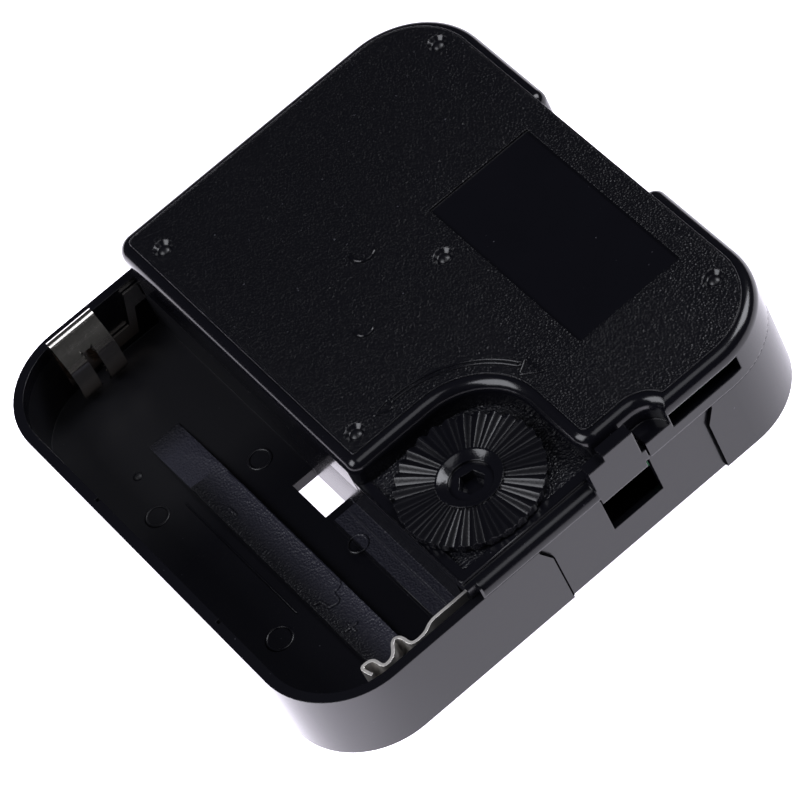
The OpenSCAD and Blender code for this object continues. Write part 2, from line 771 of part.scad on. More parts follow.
module coil_core() {
    difference() {
        union() {
            block(rotor_pos.x - core_len / 2, rotor_pos.x + core_len / 2, coil_y - core_w / 2,
                coil_y + core_w / 2, coil_z - core_t / 2, coil_z + core_t / 2);
            for (p = stator_posts)
                block(p.x - 1.5, p.x + 1.5, coil_y - 1.5, coil_y + 1.5, coil_z - core_t / 2,
                    coil_z + core_t / 2);
        }
        for (p = stator_posts) at(p) rod(0.5 + fit, 0, top_z);
    }
}

module coil_bobbin() {
    x0 = rotor_pos.x - bobbin_len / 2;
    difference() {
        translate([x0, coil_y, coil_z]) rotate([0, 90, 0]) {
            cylinder(r = barrel_r, h = bobbin_len);
            cylinder(r = bobbin_d / 2, h = 0.7);
            translate([0, 0, bobbin_len - 0.7]) cylinder(r = bobbin_d / 2, h = 0.7);
        }
        block(x0 - 1, x0 + bobbin_len + 1, coil_y - core_w / 2, coil_y + core_w / 2, coil_z - core_t / 2,
            coil_z + core_t / 2);
    }
}

module coil_winding() {
    translate([rotor_pos.x - bobbin_len / 2 + 0.7, coil_y, coil_z]) rotate([0, 90, 0]) difference() {
        cylinder(r = bobbin_d / 2 - 0.25, h = bobbin_len - 1.4);
        translate([0, 0, -1]) cylinder(r = barrel_r, h = bobbin_len + 2);
    }
}

module circuit_board() {
    difference() {
        intersection() {
            slab(plate_top, board_top) case_plan(wall + 0.5);
            block(board_x, inner, ledge_y, inner, plate_top, board_top);
        }
        for (p = stator_posts) at(p) rod(1.2 + fit, 0, top_z);
    }
}

module chip_cover() {
    translate([board_x + 3.2, ledge_y + 6, board_top]) intersection() {
        translate([0, 0, -1.6]) sphere(2.6);
        cylinder(r = 3, h = 3);
    }
}

module quartz_crystal() {
    translate([board_x + 5.6, half - 9.6, board_top + 1]) rotate([-90, 0, 0]) {
        cylinder(r = 1, h = 6);
        for (x = [-0.35, 0.35]) translate([x, 0, -1.4]) cylinder(r = 0.12, h = 1.5, $fn = 16);
    }
}

// Spring of the negative contact: it stands at the wall, folds over the rim and comes down as two fingers
module contact_spring(back) {
    width = 2 * finger_w + slit;
    fold = [for (a = [180 : -18 : 18]) [back + 0.5, rim_z + 0.4] + polar(0.5, a)];
    down = bend([fold[9], [back + 2.4, 4.6], [back + 2.3, 2.5], [back + 1.6, 1.6]], 0.8);
    difference() {
        along_y(finger_y, finger_y + width)
            band([[back, 2.4], each fold, for (i = [1 : len(down) - 1]) down[i]], strip_t);
        along_x(back + 0.6, back + 4) {
            translate([finger_y + finger_w, 0]) square([slit, rim_z - 1.1]);
            translate([finger_y + width / 2, rim_z - 1.1]) circle(slit / 2);
            for (y = [0, finger_w, finger_w + slit, width])
                translate([finger_y + y, 1.5]) rotate(45) square(1, center = true);
        }
    }
}

module contact_negative() {
    back = 0.25 - inner;
    low = 2.4;
    step = 2.25 + chamber_front;
    high = plate_top + 0.2;
    side = half - 9.2;
    contact_spring(back);
    along_x(back - strip_t / 2, back + strip_t / 2) polygon([[finger_y + 5, low], [-step, low],
        [0.9 - step, high], [2, high], [2, contact_top - 0.1], [0.5 - step, contact_top - 0.1],
        [-step - 0.5, low + 1.5], [finger_y + 5, low + 1.5]]);
    slab(high, contact_top - 0.1) band([[back, 1.9], [back, side], [3.7 - half, half - 4], [-side, -back],
        [board_x + 2.4, -back]], strip_t);
    slab(board_top, contact_top - 0.1) band([[board_x + 1, -back], [board_x + 2.4, -back],
        [board_x + 2.4, -back - 1.2]], strip_t);
}

module contact_positive() {
    bay = [for (p = folds) [half - p.x, -chamber_front - p.y]];
    board = [half - 6, ledge_y];
    chamber = [[contact_x, -chamber_front - 1], [contact_x, 1.75 - chamber_front],
        [half - 3.7, -4], [half - 3.7, 1], board - [0, 3.9], board];
    slab(contact_top - strip_h, contact_top) band(bend(bay, 0.6), strip_t);
    slab(plate_top + 0.2, contact_top) band(bend(chamber, 0.6), strip_t);
    slab(board_top, contact_top) band([board - [0, 1], board + [0, 1.5]], strip_t);
}

color([0.12, 0.12, 0.13]) front_case();
color([0.78, 0.62, 0.3]) threaded_bush();
color([0.16, 0.16, 0.17]) middle_plate();
color([0.1, 0.1, 0.11]) rear_cover();
color([0.08, 0.08, 0.09]) setting_knob();
color([0.85, 0.85, 0.82]) setting_arbor();
color([0.9, 0.9, 0.86]) minute_work_wheel();
color([0.92, 0.92, 0.88]) hour_wheel();
color([0.8, 0.66, 0.36]) minute_arbor();
color([0.88, 0.88, 0.84]) centre_wheel();
color([0.86, 0.88, 0.9]) third_wheel();
color([0.9, 0.86, 0.84]) second_wheel();
color([0.72, 0.73, 0.75]) second_arbor();
color([0.86, 0.9, 0.86]) fifth_wheel();
color([0.9, 0.9, 0.9]) rotor_pinion();
color([0.3, 0.3, 0.32]) rotor_magnet();
color([0.62, 0.63, 0.66]) stator();
color([0.6, 0.61, 0.64]) coil_core();
color([0.85, 0.85, 0.8]) coil_bobbin();
color([0.72, 0.38, 0.2]) coil_winding();
color([0.1, 0.35, 0.2]) circuit_board();
color([0.05, 0.05, 0.06]) chip_cover();
color([0.75, 0.76, 0.78]) quartz_crystal();
color([0.8, 0.8, 0.78]) contact_negative();
color([0.8, 0.8, 0.78]) contact_positive();
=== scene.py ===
"""Looks of the quartz clock movement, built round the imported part.

Lengths are in metres, unless a name or comment says millimetres."""

import json
import math

import bmesh
import bpy
from mathutils import Matrix, Vector


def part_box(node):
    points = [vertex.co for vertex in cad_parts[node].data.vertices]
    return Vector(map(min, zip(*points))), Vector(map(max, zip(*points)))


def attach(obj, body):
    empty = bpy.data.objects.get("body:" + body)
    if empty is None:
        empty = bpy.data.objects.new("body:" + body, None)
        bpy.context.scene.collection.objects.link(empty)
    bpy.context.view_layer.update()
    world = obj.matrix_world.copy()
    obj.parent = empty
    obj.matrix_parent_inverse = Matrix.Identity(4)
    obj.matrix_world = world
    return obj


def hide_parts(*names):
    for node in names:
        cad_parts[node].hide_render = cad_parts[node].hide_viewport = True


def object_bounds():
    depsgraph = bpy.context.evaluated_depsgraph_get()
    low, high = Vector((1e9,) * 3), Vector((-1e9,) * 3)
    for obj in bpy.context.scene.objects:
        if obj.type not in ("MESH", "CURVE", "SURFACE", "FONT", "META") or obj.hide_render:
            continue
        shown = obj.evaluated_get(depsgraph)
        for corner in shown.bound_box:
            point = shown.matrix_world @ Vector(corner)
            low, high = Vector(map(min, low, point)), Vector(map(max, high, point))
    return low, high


MM = 0.001

# Camera of the photograph, found from the straight edges of the 56 mm case
CAMERA_AT = (0.287128, -0.072517, 0.353989)
CAMERA_RIGHT = (0.57435, 0.75616, -0.31360)
CAMERA_DOWN = (0.52918, -0.63524, -0.56253)
LENS_MM = 227.4
SENSOR_MM = 36.0

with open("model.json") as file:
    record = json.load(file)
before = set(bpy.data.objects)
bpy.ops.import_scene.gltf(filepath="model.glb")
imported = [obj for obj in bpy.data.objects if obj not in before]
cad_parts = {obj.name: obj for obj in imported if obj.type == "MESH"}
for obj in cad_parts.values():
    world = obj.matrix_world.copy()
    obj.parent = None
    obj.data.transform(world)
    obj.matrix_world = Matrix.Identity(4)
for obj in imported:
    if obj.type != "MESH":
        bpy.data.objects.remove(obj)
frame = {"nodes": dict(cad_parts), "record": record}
cad_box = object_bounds()


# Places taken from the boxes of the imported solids


def low(node):
    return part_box(node)[0]


def high(node):
    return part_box(node)[1]


COVER_TOP = high("rear_cover")[2]
RIM = high("front_case")[2]

# Heights that no box shows, as in part.scad: the floor of the case, and the tray above the rim
FLOOR_TOP = 1.2 * MM
TRAY_TOP = RIM + 1.35 * MM

# Knob: its middle, how many ribs it has, and the angle of the first one
KNOB = [(low("setting_knob")[i] + high("setting_knob")[i]) / 2 for i in (0, 1)]
RIBS = 30
RIB_TURN = math.radians(3.5)

# Trough that carries the cell: axis (Y, Z) and radius of its round surface
TROUGH_AXIS_MM = (-17.75, 8.9)
TROUGH_R_MM = 7.4

# Thread of the bush, M8 x 0.75
THREAD_R_MM = 4.0
THREAD_PITCH_MM = 0.75
THREAD_DEPTH_MM = 0.42
BUSH_LENGTH_MM = 5.4


# Node helpers


class Shader:
    """A node material with one Principled shader and short calls for what feeds it."""

    def __init__(self, name):
        self.material = bpy.data.materials.new(name)
        self.material.use_nodes = True
        self.tree = self.material.node_tree
        self.bsdf = self.tree.nodes["Principled BSDF"]

    def node(self, kind, inputs=None, **settings):
        n = self.tree.nodes.new(kind)
        for key, value in settings.items():
            setattr(n, key, value)
        for key, value in (inputs or {}).items():
            self.feed(n.inputs[key], value)
        return n

    def feed(self, socket, value):
        if isinstance(value, bpy.types.NodeSocket):
            self.tree.links.new(value, socket)
        else:
            socket.default_value = value

    def set(self, **values):
        for key, value in values.items():
            self.feed(self.bsdf.inputs[key.replace("_", " ").title().replace("Ior", "IOR")], value)
        return self

    def place(self):
        return self.node("ShaderNodeTexCoord").outputs["Object"]

    def math(self, operation, a, b=0.0):
        return self.node("ShaderNodeMath", {0: a, 1: b}, operation=operation).outputs[0]

    def noise(self, scale, detail=2.0, rough=0.5):
        """Soft noise with about that many spots to the metre."""
        inputs = {"Vector": self.place(), "Scale": scale, "Detail": detail, "Roughness": rough}
        return self.node("ShaderNodeTexNoise", inputs).outputs["Fac"]

    def remap(self, value, low_in, high_in, low_out, high_out):
        inputs = {"Value": value, "From Min": low_in, "From Max": high_in}
        inputs.update({"To Min": low_out, "To Max": high_out})
        return self.node("ShaderNodeMapRange", inputs).outputs["Result"]

    def mix(self, factor, a, b):
        n = self.node("ShaderNodeMix", data_type="RGBA")
        for socket, value in zip((n.inputs[0], n.inputs[6], n.inputs[7]), (factor, a, b)):
            self.feed(socket, value)
        return n.outputs[2]

    def bump(self, height, strength, distance, normal=None):
        inputs = {"Height": height, "Strength": strength, "Distance": distance}
        if normal is not None:
            inputs["Normal"] = normal
        return self.node("ShaderNodeBump", inputs).outputs["Normal"]

    def rounded(self, radius):
        """Normal that rounds every edge off by the given radius."""
        return self.node("ShaderNodeBevel", {"Radius": radius}, samples=6).outputs["Normal"]

    def axes(self):
        return self.node("ShaderNodeSeparateXYZ", {0: self.place()}).outputs

    def inside(self, bounds):
        """1 where the surface lies within the given (low, high) range of each named axis, else 0."""
        axes = self.axes()
        mask = None
        for axis, (bottom, top) in bounds.items():
            above = self.math("GREATER_THAN", axes[axis], bottom)
            band = self.math("MULTIPLY", above, self.math("LESS_THAN", axes[axis], top))
            mask = band if mask is None else self.math("MULTIPLY", mask, band)
        return mask


def rgb(r, g, b):
    return (r, g, b, 1.0)


def times(colour, factor):
    return rgb(*(c * factor for c in colour[:3]))


def grain_roughness(s, mask, rough, matt):
    """Roughness that grows on the grained ranges, and up to MATT_ROUGH on the matt range."""
    if matt is None:
        return s.remap(mask, 0.0, 1.0, rough, rough + GRAIN_ROUGHER)
    bounds, start, end = matt
    part = s.math("MULTIPLY", s.inside(bounds), s.remap(s.axes()["X"], start, end, 1.0, 0.0))
    share = s.math("MULTIPLY", mask, GRAIN_ROUGHER / (MATT_ROUGH - rough))
    return s.remap(s.math("MAXIMUM", share, part), 0.0, 1.0, rough, MATT_ROUGH)


def moulded_plastic(name, colour, rough, grain_and_sheen=(), edge=0.12 * MM, grain=0.4, matt=None):
    """Moulded plastic: soft edges, faint flow clouds, fine dust, and grain within the given ranges.

    Each range comes with how many times paler it is, and with the axis and the two places between which that
    grows; on the trough and ramp of the bay the paler colour is a painted highlight. The matt range has a
    rougher face, which goes back to the rest between its two places along X."""
    s = Shader(name)
    cloud = s.noise(180.0, 3.0)
    dust = s.remap(s.noise(2600.0, 1.0), *DUST_PEAKS, 0.0, 1.0)
    dusty = rgb(*(min(1.0, c * 6 + 0.02) for c in colour[:3]))
    plain = s.mix(cloud, colour, times(colour, 1.3))
    mask = None
    for bounds, pale, fade in grain_and_sheen:
        part = s.inside(bounds)
        mask = part if mask is None else s.math("MAXIMUM", mask, part)
        if fade is not None:
            axis, start, end = fade
            part = s.math("MULTIPLY", part, s.remap(s.axes()[axis], start, end, 0.0, 1.0))
        # Paler colour of the range; on the bay's trough and ramp it is a painted highlight
        plain = s.mix(part, plain, times(colour, pale))
    s.set(base_color=s.mix(dust, plain, dusty))
    fine = s.bump(s.noise(5200.0, 2.0), 0.12, 0.02 * MM, s.rounded(edge))
    s.set(ior=PLASTIC_IOR)
    if not grain_and_sheen:
        s.set(roughness=s.remap(cloud, 0.3, 0.7, rough - 0.03, rough + 0.03), normal=fine)
        return s.material
    cells = s.node("ShaderNodeTexVoronoi", {"Vector": s.place(), "Scale": GRAIN_CELLS}).outputs["Distance"]
    grains = s.math("ADD", cells, s.math("MULTIPLY", s.noise(GRAIN_NOISE, 2.0, 0.6), 0.7))
    s.set(roughness=grain_roughness(s, mask, rough, matt))
    s.set(normal=s.bump(s.math("MULTIPLY", grains, mask), grain, GRAIN_DEPTH, fine))
    return s.material


def ribbed_plastic(name, colour, rough):
    """Glossy plastic of the knob: a wave round it draws each rib sharper, and its dish is drawn flatter."""
    s = Shader(name)
    cloud = s.noise(300.0, 3.0)
    s.set(base_color=s.mix(cloud, colour, times(colour, 1.4)))
    axes = s.axes()
    x = s.math("SUBTRACT", axes["X"], KNOB[0])
    y = s.math("SUBTRACT", axes["Y"], KNOB[1])
    turn = s.math("SUBTRACT", s.math("ARCTAN2", y, x), RIB_TURN)
    wave = s.math("COSINE", s.math("MULTIPLY", turn, float(RIBS)))
    reach = s.math("SQRT", s.math("ADD", s.math("MULTIPLY", x, x), s.math("MULTIPLY", y, y)))
    ribs = s.math("GREATER_THAN", reach, RIBS_FROM)
    ridges = s.math("MULTIPLY", s.math("MULTIPLY", wave, reach), ribs)
    worn = s.bump(s.noise(4200.0, 3.0), 0.25, 0.03 * MM, s.rounded(0.1 * MM))
    dish = s.math("MINIMUM", s.math("MULTIPLY", reach, reach), DISH_R**2)
    worn = s.bump(s.math("MULTIPLY", dish, -1.0), 1.0, DISH_FLATTER, worn)
    s.set(roughness=s.remap(ribs, 0.0, 1.0, rough, rough + 0.14))
    s.set(normal=s.bump(ridges, 1.0, RIB_SHARP, worn), ior=PLASTIC_IOR)
    return s.material


def metal(name, colour, rough, scratch_axis=(1.0, 0.05, 1.0), edge=0.05 * MM, bay_reflection_below=None):
    """Bare or plated metal with fine drawn scratches and a slow stain.

    Below the first of two given heights it is darker and browner, a painted reflection of the bay, and above
    the second it isn't."""
    s = Shader(name)
    stain = s.noise(260.0, 3.0)
    plain = s.mix(stain, colour, times(colour, 0.86))
    if bay_reflection_below is not None:
        # Painted reflection of the dark bay: darker and browner low down on the spring
        bay_reflection = s.remap(s.axes()["Z"], *bay_reflection_below, 1.0, 0.0)
        plain = s.mix(bay_reflection, plain, rgb(*(c * share for c, share in zip(colour, BAY_REFLECTION_SHARE))))
    s.set(base_color=plain, metallic=1.0)
    stretched = s.node("ShaderNodeMapping", {"Vector": s.place(), "Scale": scratch_axis}).outputs[0]
    lines = s.node("ShaderNodeTexNoise", {"Vector": stretched, "Scale": 4000.0, "Detail": 2.0}).outputs["Fac"]
    s.set(roughness=s.remap(lines, 0.2, 0.8, rough - 0.03, rough + 0.05))
    s.set(normal=s.bump(lines, 0.03, 0.01 * MM, s.rounded(edge)))
    return s.material


def acetal(name):
    """Natural acetal of the wheels: faintly translucent, with soft clouds."""
    s = Shader(name)
    cloud = s.noise(420.0, 2.0)
    s.set(base_color=s.mix(cloud, rgb(0.80, 0.79, 0.73), rgb(0.70, 0.69, 0.63)))
    s.set(roughness=s.remap(cloud, 0.3, 0.7, 0.32, 0.42), subsurface_weight=0.15, subsurface_scale=0.4 * MM)
    s.set(normal=s.bump(s.noise(4200.0), 0.1, 0.02 * MM))
    return s.material


def wound_wire(name):
    """Enamelled copper wire: one fine band of painted highlight and painted shade for each turn, with bumps
    that follow them.
    """
    s = Shader(name)
    inputs = {"Vector": s.place(), "Scale": 2600.0, "Distortion": 0.4}
    turns = s.node("ShaderNodeTexWave", inputs, wave_type="BANDS", bands_direction="X").outputs["Fac"]
    # Colour bands: painted highlight on each turn and painted shade between turns
    s.set(base_color=s.mix(turns, rgb(0.30, 0.09, 0.035), rgb(0.62, 0.26, 0.11)), metallic=0.7, roughness=0.3)
    s.set(normal=s.bump(turns, 0.6, 0.06 * MM))
    return s.material


def coated_board(name):
    """Circuit board: green coat with paler tracks under it."""
    s = Shader(name)
    cells = s.node("ShaderNodeTexBrick", {"Vector": s.place(), "Scale": 330.0}, offset=0.5).outputs["Fac"]
    s.set(base_color=s.mix(cells, rgb(0.03, 0.16, 0.07), rgb(0.07, 0.27, 0.12)), roughness=0.28)
    s.set(normal=s.bump(cells, 0.2, 0.03 * MM))
    return s.material


def joint_shadow(name):
    """What shows in a narrow joint: plastic with no light on it."""
    s = Shader(name)
    s.set(base_color=s.mix(s.noise(900.0), rgb(0.001, 0.001, 0.0012), rgb(0.002, 0.002, 0.0024)))
    s.set(roughness=1.0, ior=1.05)
    return s.material


def sintered_magnet(name):
    """Pressed magnet powder: dark and coarse."""
    s = Shader(name)
    grains = s.noise(5200.0, 4.0, 0.7)
    s.set(base_color=s.mix(grains, rgb(0.10, 0.10, 0.11), rgb(0.20, 0.20, 0.21)), metallic=0.5)
    s.set(roughness=s.remap(grains, 0.3, 0.7, 0.5, 0.65), normal=s.bump(grains, 0.4, 0.03 * MM))
    return s.material


BLACK = rgb(0.0020, 0.0020, 0.0030)
PLASTIC_IOR = 1.33
MATT_ROUGH = 0.5

# Which peaks of the dust noise show, and the share of red, green and blue that metal keeps under its painted
# reflection of the bay
DUST_PEAKS = (0.79, 0.82)
BAY_REFLECTION_SHARE = (0.42, 0.36, 0.32)

# Grain: cells and noise spots to the metre, depth, and how much rougher it is than the rest
GRAIN_CELLS = 4300.0
GRAIN_NOISE = 3600.0
GRAIN_DEPTH = 0.3 * MM
GRAIN_ROUGHER = 0.1

# Knob: where the ribs begin, the radius of the dish, and the strength of their two waves
RIBS_FROM = 3.2 * MM
DISH_R = 3.05 * MM
RIB_SHARP = 0.012
DISH_FLATTER = 24.0

# Grained, paler and matt places of the plastics, and the places between which they fade. On the trough and
# ramp the paler colour is a painted highlight of the softbox on the bay side.
TROUGH = {"X": (-8.5 * MM, 25.9 * MM), "Y": (-19.5 * MM, -15.8 * MM), "Z": (1.25 * MM, 2.3 * MM)}
RAMP = {**TROUGH, "X": (-15.9 * MM, -8.5 * MM)}
COVER_GRAIN = {"Z": (COVER_TOP - 0.02 * MM, COVER_TOP + 0.02 * MM)}
TRAY_GRAIN = {"X": (8.0 * MM, 25.4 * MM), "Z": (TRAY_TOP - 0.04 * MM, TRAY_TOP + 0.04 * MM)}
LEDGE = {"X": (5.7 * MM, 24.9 * MM), "Y": (-12.47 * MM, -9.0 * MM), "Z": (2.15 * MM, 3.2 * MM)}
BAY_CORNER = {"X": (-27.0 * MM, -2.0 * MM), "Y": (-27.0 * MM, -8.5 * MM), "Z": (1.1 * MM, 7.0 * MM)}
TROUGH_SHEEN_FADE = ("Y", -18.9 * MM, -16.2 * MM)
RAMP_SHEEN_FADE = ("X", -16.0 * MM, -13.0 * MM)
BAY_CORNER_FADE = (-10.0 * MM, -2.0 * MM)
# Trough and ramp: grain and a painted highlight, 7 times paler; ledge: grain, 5 times paler
CASE_GRAIN_AND_SHEEN = [(TROUGH, 7.0, TROUGH_SHEEN_FADE), (RAMP, 7.0, RAMP_SHEEN_FADE), (LEDGE, 5.0, None)]

MATERIALS = {
    "case_black": moulded_plastic("case black", BLACK, 0.27, CASE_GRAIN_AND_SHEEN, grain=0.28,
        matt=(BAY_CORNER, *BAY_CORNER_FADE)),
    "cover_black": moulded_plastic("cover black", BLACK, 0.16, [(COVER_GRAIN, 1.0, None)], edge=0.2 * MM,
        grain=0.36),
    "plate_black": moulded_plastic("plate black", BLACK, 0.2, [(TRAY_GRAIN, 1.5, None)], edge=0.2 * MM),
    "knob_black": ribbed_plastic("knob black", BLACK, 0.13),
    "acetal_white": acetal("acetal white"),
    "hand_brass": metal("hand brass", rgb(0.74, 0.55, 0.25), 0.28),
    "bush_brass": metal("bush brass", rgb(0.76, 0.58, 0.28), 0.30),
    "arbor_steel": metal("arbor steel", rgb(0.62, 0.63, 0.65), 0.25),
    "magnet_grey": sintered_magnet("magnet grey"),
    "stator_steel": metal("stator steel", rgb(0.50, 0.51, 0.53), 0.35),
    "bobbin_plastic": moulded_plastic("bobbin plastic", rgb(0.62, 0.60, 0.52), 0.4),
    "copper_wire": wound_wire("copper wire"),
    "board_green": coated_board("board green"),
    "chip_epoxy": moulded_plastic("chip epoxy", rgb(0.012, 0.012, 0.012), 0.18),
    "crystal_can": metal("crystal can", rgb(0.72, 0.73, 0.75), 0.16),
    # Negative contact spring: a painted reflection of the bay darkens it low down
    "contact_nickel": metal("contact nickel", rgb(0.92, 0.88, 0.83), 0.15, (1.0, 1.0, 0.05),
        bay_reflection_below=(2.6 * MM, 6.0 * MM)),
}
STRIP_NICKEL = metal("contact strip nickel", rgb(0.92, 0.89, 0.85), 0.42)
DOME_PLASTIC = moulded_plastic("cover dome", BLACK, 0.34, edge=0.02 * MM)
JOINT_SHADOW = joint_shadow("joint shadow")

for part in frame["record"]["subparts"]:
    node = frame["nodes"][part["node"]]
    node.data.materials.clear()
    node.data.materials.append(MATERIALS[part["material_slot"]])
frame["nodes"]["contact_positive"].data.materials[0] = STRIP_NICKEL


# Small relief: beads, domes, the turning arrow and the thread. All their sizes are in millimetres.

# How far a bead or cap is sunk into what it stands on
BEAD_SUNK_MM = 0.06
CAP_SUNK_MM = 0.05

# Faces across a bead, and how small its two ends are
BEAD_FACES = 6
BEAD_END = 0.4

# Width and height of the thin beads that draw an edge
EDGE_BEAD_MM = (0.26, 0.09)
ARROW_BEAD_MM = (0.26, 0.17)

SHARP_ANGLE = math.radians(40)


def add_piece(name, bm, slot, material=None):
    """Piece of the outside that doesn't turn, with its slot's material unless another is given."""
    bmesh.ops.recalc_face_normals(bm, faces=bm.faces)
    mesh = bpy.data.meshes.new(name)
    bm.to_mesh(mesh)
    bm.free()
    mesh.shade_smooth()
    mesh.materials.append(material or MATERIALS[slot])
    piece = bpy.data.objects.new(name, mesh)
    bpy.context.scene.collection.objects.link(piece)
    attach(piece, "movement")
    return piece


def skin(bm, rings, closed):
    """Faces between each ring of points and the next, with the two ends capped unless the row is closed."""
    rings = [[bm.verts.new(p) for p in ring] for ring in rings]
    size = len(rings[0])
    pairs = zip(rings, rings[1:] + rings[:1]) if closed else zip(rings, rings[1:])
    for a, b in pairs:
        for k in range(size):
            bm.faces.new((a[k], a[(k + 1) % size], b[(k + 1) % size], b[k]))
    if not closed:
        bm.faces.new(rings[0])
        bm.faces.new(rings[-1])


def bead(name, path, width, height, slot, closed=False):
    """Rounded bead along a line of points, sunk a little into what it stands on and narrower at its ends."""
    points = [Vector(p) * MM for p in path]
    last = len(points) - 1
    rings = []
    for i, p in enumerate(points):
        before = points[i - 1] if i or closed else p
        after = points[(i + 1) % (last + 1)] if i < last or closed else p
        along = after - before
        side = Vector((-along.y, along.x, 0.0)).normalized()
        size = BEAD_END if i in (0, last) and not closed else 1.0
        ring = [p + side * (s * width * size * MM / 2) + Vector((0, 0, -BEAD_SUNK_MM * MM)) for s in (-1, 1)]
        for k in range(BEAD_FACES + 1):
            a = math.pi * k / BEAD_FACES
            up = Vector((0, 0, height * size * math.sin(a) * MM))
            ring.append(p + side * (width * size * math.cos(a) * MM / 2) + up)
        rings.append(ring)
    bm = bmesh.new()
    skin(bm, rings, closed)
    return add_piece(name, bm, slot)


def ring_bead(name, centre, radius, z, width, height, slot, count=40):
    steps = [math.tau * k / count for k in range(count)]
    path = [(centre[0] + radius * math.cos(a), centre[1] + radius * math.sin(a), z) for a in steps]
    return bead(name, path, width, height, slot, closed=True)


def lathe(name, centre, profile, slot, material=None, count=40):
    """Turned piece from a profile of (radius, height) points that ends in a flat middle."""
    x, y = centre
    steps = [math.tau * k / count for k in range(count)]
    bm = bmesh.new()
    rings = []
    for r, z in profile:
        rings.append([Vector((x + r * math.cos(a), y + r * math.sin(a), z)) * MM for a in steps])
    skin(bm, rings, False)
    return add_piece(name, bm, slot, material)


def arc_points(centre, radius, start, end, steps=12):
    """Points on an arc between two angles in degrees."""
    turns = [math.radians(start + (end - start) * k / steps) for k in range(steps + 1)]
    return [(centre[0] + radius * math.cos(a), centre[1] + radius * math.sin(a)) for a in turns]


def at_height(points, z):
    return [(x, y, z) for x, y in points]


def trough_z(y):
    """Height of the trough's round surface."""
    return TROUGH_AXIS_MM[1] - math.sqrt(TROUGH_R_MM**2 - (y - TROUGH_AXIS_MM[0]) ** 2)


def on_trough(points, pieces=8):
    """The same line, cut finer and laid on the round surface of the trough."""
    path = []
    for (x0, y0), (x1, y1) in zip(points, points[1:]):
        for k in range(pieces):
            x, y = x0 + (x1 - x0) * k / pieces, y0 + (y1 - y0) * k / pieces
            path.append((x, y, trough_z(y)))
    return path + [(*points[-1], trough_z(points[-1][1]))]


def dome(radius, z, rise, steps=10):
    """Profile of a round cap that stands on z."""
    ball = (radius * radius + rise * rise) / (2 * rise)
    profile = [(radius, z - CAP_SUNK_MM)]
    for k in range(steps):
        r = radius * (1 - k / steps)
        profile.append((r, z + rise - ball + math.sqrt(ball * ball - r * r)))
    return profile


def outline_points(corners, z, pieces=6):
    """Points round a closed shape, with each side cut into the given number of pieces."""
    path = []
    for (x0, y0), (x1, y1) in zip(corners, corners[1:] + corners[:1]):
        path += [(x0 + (x1 - x0) * k / pieces, y0 + (y1 - y0) * k / pieces, z) for k in range(pieces)]
    return path


def cover_relief():
    """Domes in the dimples, the two ejector marks and the arrow that shows which way the knob turns."""
    top = COVER_TOP / MM
    dimple_floor = top - 0.35
    dimples = [(-23.3, -7.04), (-21.24, 24.79), (20.85, 24.53), (8.14, -7.32), (-0.93, 9.93)]
    for k, centre in enumerate(dimples):
        lathe(f"dimple_dome_{k + 1}", centre, dome(0.58, dimple_floor, 0.24), "cover_black", DOME_PLASTIC)
    for k, (centre, radius) in enumerate([((-7.5, 5.3), 1.15), ((-0.33, 0.13), 0.82)]):
        arc = arc_points(centre, radius, -125, 60, 16)
        bead(f"ejector_mark_{k + 1}", at_height(arc, top), 0.42, 0.22, "cover_black")
    arrow_centre, arrow_start, arrow_end = (19.05, -2.75), 183.1, 114.3
    for k, radius in enumerate((10.8, 11.2)):
        arc = arc_points(arrow_centre, radius, arrow_start, arrow_end, 30)
        bead(f"turning_arrow_band_{k + 1}", at_height(arc, top), *ARROW_BEAD_MM, "cover_black")
    heads = [[(8.13, -5.2), (8.85, -3.45), (7.7, -3.2)], [(16.6, 8.09), (15.15, 6.45), (14.2, 7.9)]]
    for k, corners in enumerate(heads):
        line = outline_points(corners, top)
        bead(f"turning_arrow_head_{k + 1}", line, *ARROW_BEAD_MM, "cover_black", closed=True)


def bay_relief():
    """Rings, boss and ridge of the bay floor, and the cell's outline and signs in the trough."""
    floor = FLOOR_TOP / MM
    lower_ledge = floor + 1.0
    rings = [((-6.2, -13.0), 1.1, floor), ((-8.8, -23.4), 1.1, floor), ((11.2, -23.4), 1.25, floor),
        ((9.5, -12.5), 0.95, lower_ledge)]
    for k, (centre, radius, z) in enumerate(rings):
        ring_bead(f"bay_ring_{k + 1}", centre, radius, z, 0.3, 0.13, "case_black")
    lathe("bay_boss", (-14.0, -22.05), dome(0.5, floor, 0.25), "case_black")
    ridge = [(x, -20.7, floor) for x in (-7.9, -7.6, 10.1, 10.4)]
    bead("bay_ridge", ridge, 0.2, 0.16, "case_black")
    outline = [(-7.2, -15.98), (10.9, -15.98), (11.3, -16.2), (11.45, -16.6), (11.4, -17.15), (12.4, -17.25),
        (12.6, -17.5), (12.45, -18.35), (11.35, -18.5), (11.2, -19.25)]
    bead("cell_outline", on_trough(outline), 0.34, 0.2, "case_black")
    bead("minus_sign", on_trough([(-4.1, -18.3), (-2.5, -18.3)]), 0.38, 0.22, "case_black")
    bead("plus_sign_bar_1", on_trough([(14.9, -18.2), (16.5, -18.2)]), 0.34, 0.18, "case_black")
    bead("plus_sign_bar_2", on_trough([(15.7, -17.4), (15.7, -19.0)]), 0.34, 0.18, "case_black")


def spring_bulge(z):
    """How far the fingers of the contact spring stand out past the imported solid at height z."""
    knots = [(2.2, 0.0), (4.0, 0.25), (5.0, 0.5), (6.5, 0.85), (7.6, 0.7), (8.3, 0.35), (8.75, 0.0)]
    for (z0, d0), (z1, d1) in zip(knots, knots[1:]):
        if z0 <= z < z1:
            return d0 + (d1 - d0) * (z - z0) / (z1 - z0)
    return 0.0


